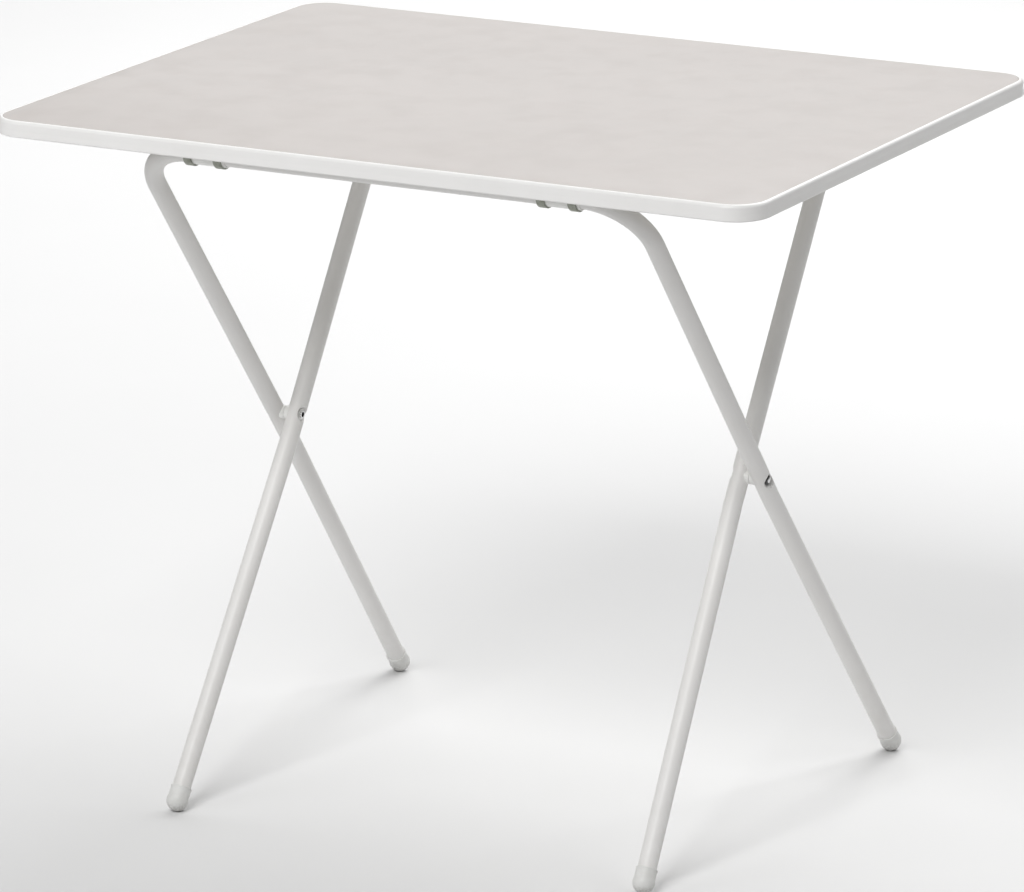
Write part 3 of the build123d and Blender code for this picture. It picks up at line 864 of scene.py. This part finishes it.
# ---------------------------------------------------------------------------------------------
# The fittings under the top
# ---------------------------------------------------------------------------------------------
SADDLE_X = 185 * MM
SADDLE_LENGTH = 40 * MM
SADDLE_BORE = 10.3 * MM
SADDLE_THICKNESS = 1.5 * MM
SADDLE_RADIUS = SADDLE_BORE + SADDLE_THICKNESS
STRAP_WIDTH = 8 * MM
FLANGE_WIDTH = 13 * MM
SLEEVE_LENGTH = 45 * MM
SLEEVE_PLAY = 0.08 * MM
SLEEVE_RADIUS = 10.2 * MM
SLEEVE_SLIT = 1.6 * MM
REST_X = 150 * MM
REST_LENGTH = 46 * MM
REST_WALL = 5 * MM
REST_FLANGE = 15 * MM
REST_FLANGE_THICKNESS = 3 * MM


def sleeve(label, side):
    """Make one slit sleeve on the front cross tube."""
    inner = TUBE_RADIUS + SLEEVE_PLAY
    outer = SLEEVE_RADIUS
    end = SLEEVE_LENGTH / 2
    ease = 0.35 * MM
    steps = 64
    slit_angle = math.asin(SLEEVE_SLIT / 2 / outer)
    sweep = 2 * math.pi - 2 * slit_angle
    section = (
        (inner, -end + ease),
        (inner + ease, -end),
        (outer - ease, -end),
        (outer, -end + ease),
        (outer, end - ease),
        (outer - ease, end),
        (inner + ease, end),
        (inner, end - ease),
    )
    vertices = []
    for radius, along in section:
        for step in range(steps + 1):
            angle = math.pi / 2 + slit_angle + sweep * step / steps
            y = HINGE.y + radius * math.cos(angle)
            z = HINGE.z + radius * math.sin(angle)
            vertices.append(Vector((side * SADDLE_X + along, y, z)))
    rows = len(section)
    count = steps + 1
    faces = strip_faces(rows, count, True, False)
    faces.append(tuple(row * count for row in range(rows)))
    faces.append(tuple(row * count + steps for row in reversed(range(rows))))
    piece = mesh_object(f"sleeve_{label}", vertices, faces)
    finish_piece(piece, "tube_sleeves", "sleeve_plastic", NYLON, f"tube_sleeve_{label}")


def saddle(label, side):
    """Press one saddle from sheet: two straps round the tube, joined by a flange on each side."""
    mid = SADDLE_BORE + SADDLE_THICKNESS / 2
    # The two quarter bends all but meet under the tube
    bend = mid * 0.999
    flange_z = UNDERSIDE - SADDLE_THICKNESS / 2 - HINGE.z
    outer_y = SADDLE_RADIUS + FLANGE_WIDTH
    fold = 1.4 * MM
    strap = rounded_line(
        [
            (-outer_y, flange_z),
            (-mid, flange_z),
            (-mid, -mid),
            (mid, -mid),
            (mid, flange_z),
            (outer_y, flange_z),
        ],
        [0, fold, bend, bend, fold, 0],
        14,
    )
    half = SADDLE_LENGTH / 2
    columns = [-half, -half + STRAP_WIDTH, half - STRAP_WIDTH, half]
    flange_edge = SADDLE_RADIUS + fold
    vertices = []
    for y, z in strap:
        for x in columns:
            vertices.append(Vector((side * SADDLE_X + x, HINGE.y + y, HINGE.z + z)))
    faces = []
    width = len(columns)
    for row in range(len(strap) - 1):
        middle_y = (strap[row][0] + strap[row + 1][0]) / 2
        for column in range(width - 1):
            window = column == 1 and abs(middle_y) < flange_edge
            if not window:
                corner = row * width + column
                faces.append((corner, corner + 1, corner + width + 1, corner + width))
    mesh = bpy.data.meshes.new(f"saddle_{label}")
    mesh.from_pydata([tuple(v) for v in vertices], [], faces)
    piece = new_object(f"saddle_{label}", mesh)
    thick = piece.modifiers.new("sheet thickness", "SOLIDIFY")
    thick.thickness = SADDLE_THICKNESS
    thick.offset = 0
    round_edges(piece, 0.35 * MM, 2, 50)
    apply_modifiers(piece)
    face_outward(piece.data)
    shade(piece.data)
    finish_piece(piece, "top", "zinc_steel", ZINC, f"front_saddle_{label}")


def rest(label, side):
    """Mould one rear rest: a nest for the cross tube, a back wall, ribs and a screw flange."""
    nest = TUBE_RADIUS + CLEARANCE
    bevel = 1 * MM
    fillet = 1.5 * MM
    wall_y = INNER_TOP_Y + nest
    wall_back = wall_y + REST_WALL
    wall_bottom = TUBE_Z - 7 * MM
    base_front = INNER_TOP_Y - TUBE_RADIUS
    base_bottom = TUBE_Z + nest
    flange_back = wall_back + REST_FLANGE
    flange_low = UNDERSIDE - REST_FLANGE_THICKNESS
    outline = arc((INNER_TOP_Y, TUBE_Z), nest, 0, math.pi / 2, 12) + [
        (base_front, base_bottom),
        (base_front, UNDERSIDE),
        (flange_back, UNDERSIDE),
        (flange_back, flange_low),
        (wall_back + fillet, flange_low),
        (wall_back, flange_low - fillet),
        (wall_back - bevel, wall_bottom),
        (wall_y + bevel, wall_bottom),
        (wall_y, wall_bottom + bevel),
    ]
    start = side * REST_X - REST_LENGTH / 2
    parts = [extrude_along_x(f"nest_{label}", outline, start, start + REST_LENGTH, 0.5 * MM)]
    rib_half = 0.95 * MM
    rib_inset = 1 * MM
    rib_root_y = wall_back - 1.2 * MM
    rib_root_z = flange_low + 0.2 * MM
    rib_outline = [
        (rib_root_y, wall_bottom + 2 * MM),
        (flange_back - 1 * MM, rib_root_z),
        (rib_root_y, rib_root_z),
    ]
    for place in (-1, 0, 1):
        middle = side * REST_X + place * (REST_LENGTH / 2 - rib_inset)
        ends = (middle - rib_half, middle + rib_half)
        parts.append(extrude_along_x(f"rib_{label}_{place}", rib_outline, *ends, 0.2 * MM))
    piece = join(f"rest_{label}", parts)
    finish_piece(piece, "top", "rest_plastic", REST_PLASTIC, f"rear_rest_{label}")


def screw(name, x, y, seat_z):
    """Make one pan-head screw with a cross recess, head down, up to the board's underside."""
    head = 3.2 * MM
    height = 1.8 * MM
    shank = 1.5 * MM
    length = 3 * MM
    profile = rounded_line(
        [(0, -height), (head, -height), (head, 0), (shank, 0), (shank, length)],
        [0, 1.2 * MM, 0.1 * MM, 0, 0],
        6,
    )
    body = lathe(name, profile + [(0, length)], (x, y, seat_z), (0, 0, 1), 32)
    arm = 2.0 * MM
    half = 0.42 * MM
    taper = 0.7
    recess_depth = 1.1 * MM
    overshoot = 0.5 * MM
    low = seat_z - height - overshoot
    deep = seat_z - height + recess_depth
    cross = [
        (arm, half), (half, half), (half, arm), (-half, arm), (-half, half), (-arm, half),
        (-arm, -half), (-half, -half), (-half, -arm), (half, -arm), (half, -half), (arm, -half),
    ]
    vertices = [Vector((x + a, y + b, low)) for a, b in cross]
    vertices += [Vector((x + taper * a, y + taper * b, deep)) for a, b in cross]
    cutter = mesh_object(f"{name}_recess", vertices, prism_faces(len(cross)))
    recess = body.modifiers.new("cross recess", "BOOLEAN")
    recess.operation = "DIFFERENCE"
    recess.object = cutter
    recess.solver = "EXACT"
    apply_modifiers(body)
    bpy.data.objects.remove(cutter)
    return body


def screw_groups():
    """Make the screws of the saddles and of the rests, one piece for each group."""
    row_y = SADDLE_RADIUS + FLANGE_WIDTH / 2
    saddle_screws = [
        screw(
            f"saddle_screw_{label}_{end}_{row}",
            side * SADDLE_X + end * SADDLE_LENGTH / 4,
            HINGE.y + row * row_y,
            UNDERSIDE - SADDLE_THICKNESS,
        )
        for label, side in SIDES
        for end in (-1, 1)
        for row in (-1, 1)
    ]
    rest_y = INNER_TOP_Y + TUBE_RADIUS + CLEARANCE + REST_WALL + REST_FLANGE / 2
    rest_screws = [
        screw(
            f"rest_screw_{label}_{end}",
            side * REST_X + end * REST_LENGTH / 4,
            rest_y,
            UNDERSIDE - REST_FLANGE_THICKNESS,
        )
        for label, side in SIDES
        for end in (-1, 1)
    ]
    finish_piece(
        join("saddle_screws", saddle_screws),
        "top",
        "screw_steel",
        WASHER_STEEL,
        "front_saddle_screws",
    )
    finish_piece(
        join("rest_screws", rest_screws), "top", "screw_steel", WASHER_STEEL, "rear_rest_screws"
    )


# ---------------------------------------------------------------------------------------------
# Putting it together
# ---------------------------------------------------------------------------------------------
def set_cad_material(node, material):
    """Give a CAD node a material in its own slots."""
    cad = frame["nodes"][node]
    cad.data.materials.clear()
    cad.data.materials.append(material)


laminate_sheet()
edging()
bent_tube("outer_tube", OUTER, "outer_frame_tube", "outer_frame", 1)
bent_tube("inner_tube", INNER, "inner_frame_tube", "inner_frame", -1)
for label, side in SIDES:
    foot_cap(label, side, OUTER, "outer_frame")
    foot_cap(label, side, INNER, "inner_frame")
    rivet(label, side)
    flat_washer(label, side)
    saddle_washer(
        side, OUTER, OUTER_LEG_INSIDE, GAP_MIDDLE + CLEARANCE / 2, RIVET_HOLE,
        "outer_frame", f"outer_saddle_washer_{label}",
    )
    saddle_washer(
        side, INNER, INNER_LEG_OUTSIDE, GAP_MIDDLE - CLEARANCE / 2, BUSH_HOLE,
        "inner_frame", f"inner_saddle_washer_{label}",
    )
    sleeve(label, side)
    saddle(label, side)
    rest(label, side)
    set_cad_material(f"pivot_bush_{label}", NYLON)
screw_groups()
set_cad_material("top_core", CHIPBOARD)
set_cad_material("backing_sheet", BACKING)


# ---------------------------------------------------------------------------------------------
# Floor, light and camera
# ---------------------------------------------------------------------------------------------
def floor():
    """Lay a plain pale floor."""
    half = 30.0
    corners = [(-half, -half, 0), (half, -half, 0), (half, half, 0), (-half, half, 0)]
    plane = mesh_object("floor", corners, [(0, 1, 2, 3)])
    s = Shader("pale floor")
    cloud = s.ramp(s.noise(1.5, 3), 0.3, 0.7)
    s.link(s.mix(cloud, (0.70, 0.70, 0.70), (0.715, 0.715, 0.715)), s.surface.inputs["Base Color"])
    s.set(Roughness=0.95, Specular_IOR_Level=0.2)
    plane.data.materials.append(s.material)


def soft_box(name, place, target, size, power):
    """Hang one white area light that faces a target."""
    light = bpy.data.lights.new(name, "AREA")
    light.shape = "RECTANGLE"
    light.size, light.size_y = size
    light.energy = power
    lamp = bpy.data.objects.new(name, light)
    bpy.context.scene.collection.objects.link(lamp)
    lamp.location = place
    facing = Vector(target) - Vector(place)
    lamp.rotation_euler = facing.to_track_quat("-Z", "Y").to_euler()


def studio():
    """Light the table softly from above its front and back, with weak fills at the sides, in an
    even white surround."""
    middle = (0, 0, 0.4)
    soft_box("key", (0.1, -3.9, 4.4), middle, (2.6, 2.2), 184)
    soft_box("left fill", (-1.7, -1.9, 1.6), (-0.2, 0, 0.4), (1.2, 1.2), 8)
    soft_box("right fill", (2.4, 0.3, 2.2), middle, (1.2, 1.2), 6)
    soft_box("overhead", (0.6, 2.4, 3.5), middle, (3.2, 3.2), 86)
    soft_box("sheen", (-2.4, 4.2, 1.7), (0, 0.1, 0.7), (3.2, 1.6), 20)
    # This one faces straight down, its target a hair to the back to set its long side along X
    soft_box("backdrop", (-1.5, 2.9, 3.2), (-1.5, 2.9001, 0), (4.0, 2.5), 90)
    world = bpy.data.worlds.new("surround")
    world.use_nodes = True
    background = world.node_tree.nodes["Background"]
    background.inputs["Color"].default_value = (1, 1, 1, 1)
    background.inputs["Strength"].default_value = 0.21
    bpy.context.scene.world = world
    bpy.context.scene.view_settings.view_transform = "Standard"


def camera():
    """Set a long lens at the front right, looking down a little."""
    yaw = math.radians(28.931)
    pitch = math.radians(15.904)
    roll = math.radians(-0.591)
    forward = Vector(
        (-math.sin(yaw) * math.cos(pitch), math.cos(yaw) * math.cos(pitch), -math.sin(pitch))
    )
    level = Vector((math.cos(yaw), math.sin(yaw), 0))
    upright = level.cross(forward)
    right = level * math.cos(roll) + upright * math.sin(roll)
    up = upright * math.cos(roll) - level * math.sin(roll)
    place = Vector((2.7417, -4.9744, 1.9563))
    lens = bpy.data.cameras.new("camera")
    lens.lens = 217.25
    lens.sensor_width = 36
    lens.clip_end = 200
    view = bpy.data.objects.new("camera", lens)
    bpy.context.scene.collection.objects.link(view)
    turn = Matrix((right, up, -forward)).transposed().to_4x4()
    view.matrix_world = Matrix.Translation(place) @ turn
    bpy.context.scene.camera = view


floor()
studio()
camera()
